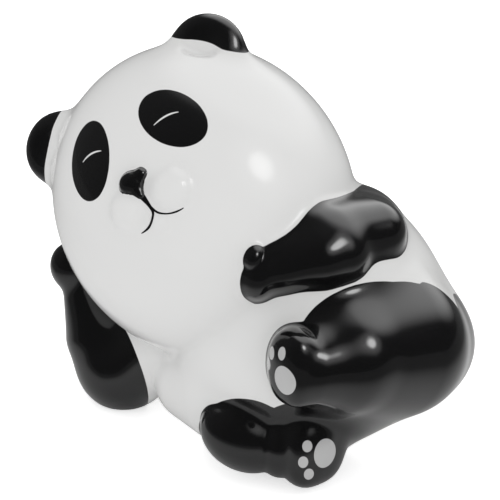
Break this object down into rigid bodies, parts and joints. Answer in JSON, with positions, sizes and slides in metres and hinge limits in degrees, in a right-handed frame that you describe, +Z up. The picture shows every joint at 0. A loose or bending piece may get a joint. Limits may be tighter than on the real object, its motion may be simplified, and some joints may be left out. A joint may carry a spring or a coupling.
{
  "type": "panda figurine",
  "caption": "Glazed ceramic panda, leaning back on one elbow with its soles forward: a table figurine that rests on its flat underside.",
  "frame": {"origin": "on the table, under the middle of the figurine's bounding box", "axes": "+Z up; the face and soles look towards -Y; +X runs from the right ear to the left thigh, the longest side"},
  "size_m": [0.15, 0.1258, 0.1334],
  "materials": {
    "glazed_ceramic": "glossy clear glaze over white slip, with black ears, arms, legs and eye patches"
  },
  "bodies": {
    "root": {"panda_figurine": "glazed_ceramic"}
  },
  "joints": []
}
